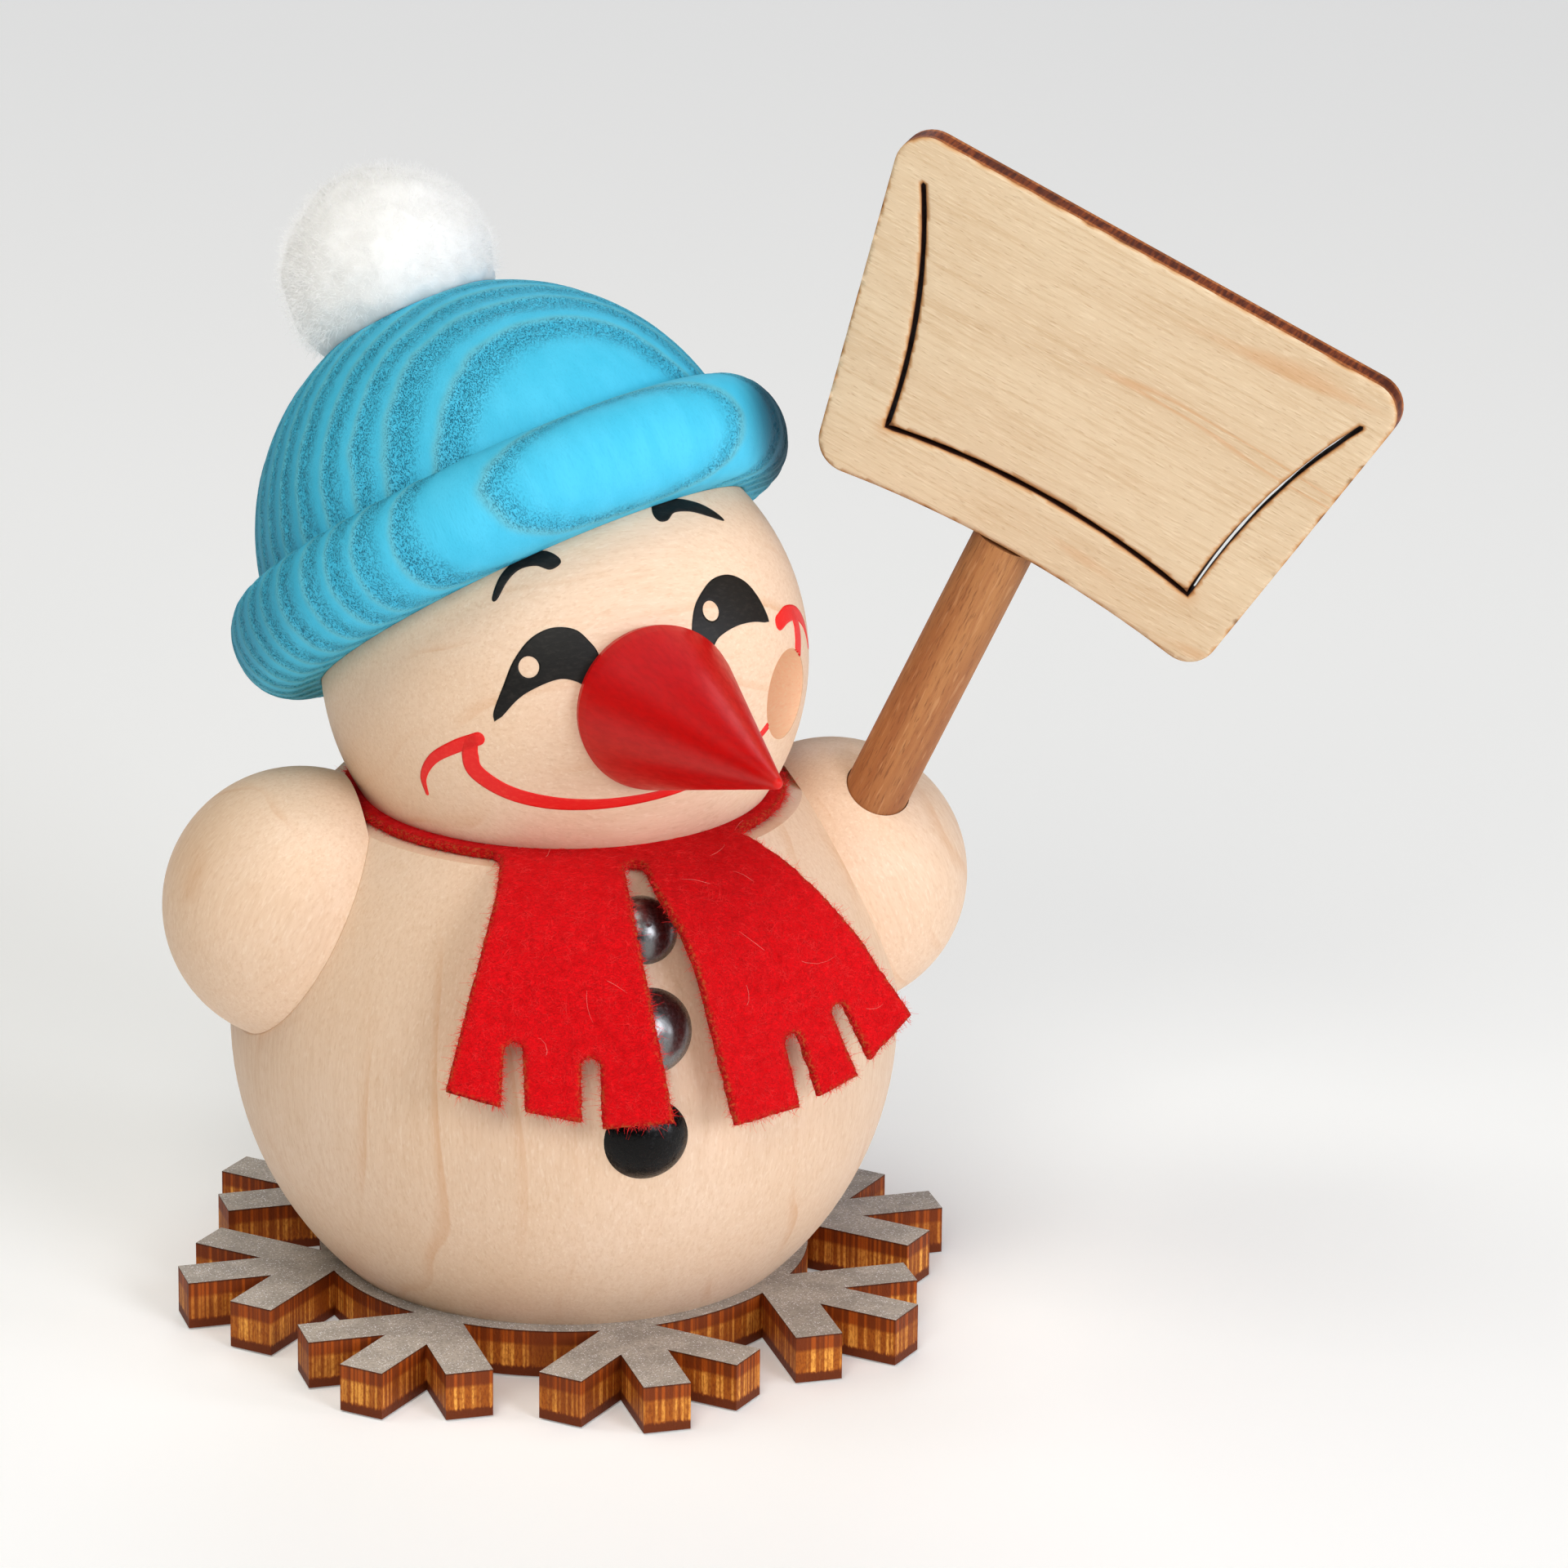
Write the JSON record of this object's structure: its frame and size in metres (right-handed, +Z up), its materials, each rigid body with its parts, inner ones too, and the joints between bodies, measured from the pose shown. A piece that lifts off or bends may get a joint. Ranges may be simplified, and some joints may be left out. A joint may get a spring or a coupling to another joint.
{
  "type": "wooden snowman incense smoker",
  "caption": "Turned ball snowman with a felt scarf, tilted hat and snow shovel, standing on a snowflake; the hollow body lifts off its burner and smoke leaves through the cheek.",
  "frame": {"origin": "centre of the snowflake's flat underside", "axes": "+Z up; the figure faces -Y, its shovel arm is at +X"},
  "size_m": [0.1067, 0.086, 0.112],
  "materials": {
    "glitter_ply": "satin",
    "maple": "satin",
    "beech": "satin",
    "birch_ply": "satin",
    "tinplate": "satin",
    "felt": "matte",
    "black_lacquer": "gloss",
    "nose_lacquer": "satin",
    "blue_wood": "matte",
    "pompom_fluff": "matte"
  },
  "bodies": {
    "base": {"snowflake_base": "glitter_ply", "burner_plug": "maple", "incense_dish": "tinplate", "dish_nail": "tinplate"},
    "figure": {"body_ball": "maple", "neck_tube": "beech", "scarf": "felt", "right_arm": "maple", "left_arm": "maple", "right_arm_dowel": "beech", "left_arm_dowel": "beech", "button_top": "black_lacquer", "button_middle": "black_lacquer", "button_bottom": "black_lacquer", "shovel_handle": "beech", "shovel_blade": "birch_ply"},
    "head": {"head_ball": "maple", "nose": "nose_lacquer", "hat": "blue_wood", "hat_dowel": "beech", "pompom": "pompom_fluff"}
  },
  "joints": [
    {"name": "figure_lift", "type": "slide", "parent": "base", "child": "figure", "axis": [0, 0, 1], "range_m": [0, 0.045]},
    {"name": "head_turn", "type": "hinge", "parent": "figure", "child": "head", "pos_m": [0, 0, 0.0619], "axis": [0, 0, 1], "range_deg": [-36, 40]}
  ]
}
